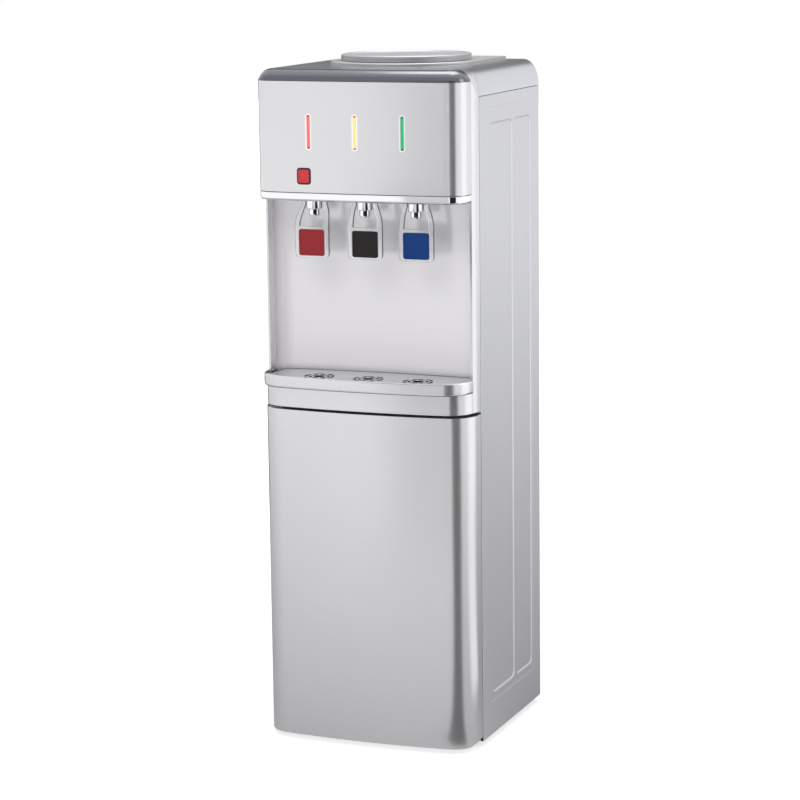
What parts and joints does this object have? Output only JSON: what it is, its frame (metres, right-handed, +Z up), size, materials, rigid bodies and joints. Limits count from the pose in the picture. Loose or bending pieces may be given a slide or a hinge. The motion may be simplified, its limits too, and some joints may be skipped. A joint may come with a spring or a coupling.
{
  "type": "floor water dispenser",
  "caption": "Floor-standing bottled-water dispenser with push-lever taps over a removable drip tray, a lidded bottle well on top and a storage cupboard behind a bowed door.",
  "frame": {"origin": "on the floor, under the middle of the machine's overall box", "axes": "+Z up; -Y is the front with the taps and the door; +X is the user's right"},
  "size_m": [0.31, 0.3322, 0.9522],
  "materials": {
    "side_paint": "satin light grey powder coat",
    "galvanised_steel": "galvanised sheet",
    "black_rubber": "matt",
    "silver_front": "satin silver lacquer",
    "recess_silver": "satin silver lacquer",
    "chrome": "polished",
    "smoked_silver": "gloss silver lacquer, darker",
    "cover_silver": "satin silver lacquer",
    "white_plastic": "moulded, matt",
    "dark_plastic": "moulded, matt",
    "clear_plastic": "clear moulded acrylic",
    "light_red": "lit translucent lens",
    "light_amber": "lit translucent lens",
    "light_green": "lit translucent lens",
    "circuit_board": "solder resist",
    "button_red": "satin",
    "rocker_green": "satin",
    "pad_red": "satin",
    "pad_black": "satin",
    "pad_blue": "satin",
    "stainless_steel": "drawn stainless steel",
    "white_foam": "expanded foam",
    "black_enamel": "black enamel",
    "copper": "drawn copper"
  },
  "bodies": {
    "cabinet": {"side_panel_left": "side_paint", "side_panel_right": "side_paint", "base_pan": "galvanised_steel", "foot_front_left": "black_rubber", "foot_front_right": "black_rubber", "foot_back_left": "black_rubber", "foot_back_right": "black_rubber", "back_panel": "galvanised_steel", "front_frame": "silver_front", "recess_panel": "recess_silver", "head_panel": "silver_front", "chrome_strip": "chrome", "visor": "smoked_silver", "top_cover": "cover_silver", "bottle_seat": "white_plastic", "feed_probe": "white_plastic", "light_bar_hot": "light_red", "light_bar_power": "light_amber", "light_bar_cold": "light_green", "indicator_board": "circuit_board", "button_housing": "dark_plastic", "tap_valve_hot": "white_plastic", "tap_valve_ambient": "white_plastic", "tap_valve_cold": "white_plastic", "tap_nozzle_hot": "chrome", "tap_nozzle_ambient": "chrome", "tap_nozzle_cold": "chrome", "tray_carrier": "silver_front", "hinge_lower": "galvanised_steel", "hinge_upper": "galvanised_steel", "catch_plate": "galvanised_steel", "cupboard_liner": "white_plastic", "lower_deck": "galvanised_steel", "tank_shelf": "galvanised_steel", "cold_tank": "stainless_steel", "tank_foam": "white_foam", "hot_tank": "stainless_steel", "compressor": "black_enamel", "condenser_tube": "black_enamel", "condenser_wires": "black_enamel", "filter_drier": "copper", "switch_housing": "dark_plastic", "drain_pipe": "white_plastic", "drain_cap": "dark_plastic", "cord_gland": "black_rubber"},
    "door": {"door_panel": "silver_front", "door_liner": "white_plastic", "door_magnet": "black_rubber"},
    "hot_lever": {"lever_hot": "clear_plastic", "lever_pad_hot": "pad_red"},
    "ambient_lever": {"lever_ambient": "clear_plastic", "lever_pad_ambient": "pad_black"},
    "cold_lever": {"lever_cold": "clear_plastic", "lever_pad_cold": "pad_blue"},
    "safety_button": {"lock_button": "button_red"},
    "tray": {"drip_tray": "silver_front"},
    "grille": {"drip_grille": "silver_front"},
    "well_lid": {"lid": "cover_silver"},
    "hot_rocker": {"rocker_hot": "button_red"},
    "cold_rocker": {"rocker_cold": "rocker_green"}
  },
  "joints": [
    {"name": "door_hinge", "type": "hinge", "parent": "cabinet", "child": "door", "pos_m": [-0.148, -0.11355, 0.24], "axis": [0, 0, -1], "range_deg": [0, 110]},
    {"name": "hot_lever_push", "type": "hinge", "parent": "cabinet", "child": "hot_lever", "pos_m": [-0.0744, -0.12185, 0.776], "axis": [1, 0, 0], "range_deg": [0, 12], "stiffness_Nm_per_rad": 0.5, "springref_deg": -5.73},
    {"name": "ambient_lever_push", "type": "hinge", "parent": "cabinet", "child": "ambient_lever", "pos_m": [0, -0.12185, 0.776], "axis": [1, 0, 0], "range_deg": [0, 12], "stiffness_Nm_per_rad": 0.5, "springref_deg": -5.73},
    {"name": "cold_lever_push", "type": "hinge", "parent": "cabinet", "child": "cold_lever", "pos_m": [0.0744, -0.12185, 0.776], "axis": [1, 0, 0], "range_deg": [0, 12], "stiffness_Nm_per_rad": 0.5, "springref_deg": -5.73},
    {"name": "button_press", "type": "slide", "parent": "cabinet", "child": "safety_button", "axis": [0, 1, 0], "range_m": [0, 0.002], "stiffness_N_per_m": 200, "springref_m": -0.002},
    {"name": "tray_pull", "type": "slide", "parent": "cabinet", "child": "tray", "axis": [0, -1, 0], "range_m": [0, 0.1]},
    {"name": "grille_lift", "type": "slide", "parent": "tray", "child": "grille", "axis": [0, 0, 1], "range_m": [0, 0.03]},
    {"name": "lid_lift", "type": "slide", "parent": "cabinet", "child": "well_lid", "axis": [0, 0, 1], "range_m": [0, 0.12]},
    {"name": "hot_switch", "type": "hinge", "parent": "cabinet", "child": "hot_rocker", "pos_m": [0.015, 0.14895, 0.81], "axis": [-1, 0, 0], "range_deg": [0, 16]},
    {"name": "cold_switch", "type": "hinge", "parent": "cabinet", "child": "cold_rocker", "pos_m": [-0.015, 0.14895, 0.81], "axis": [-1, 0, 0], "range_deg": [0, 16]}
  ]
}
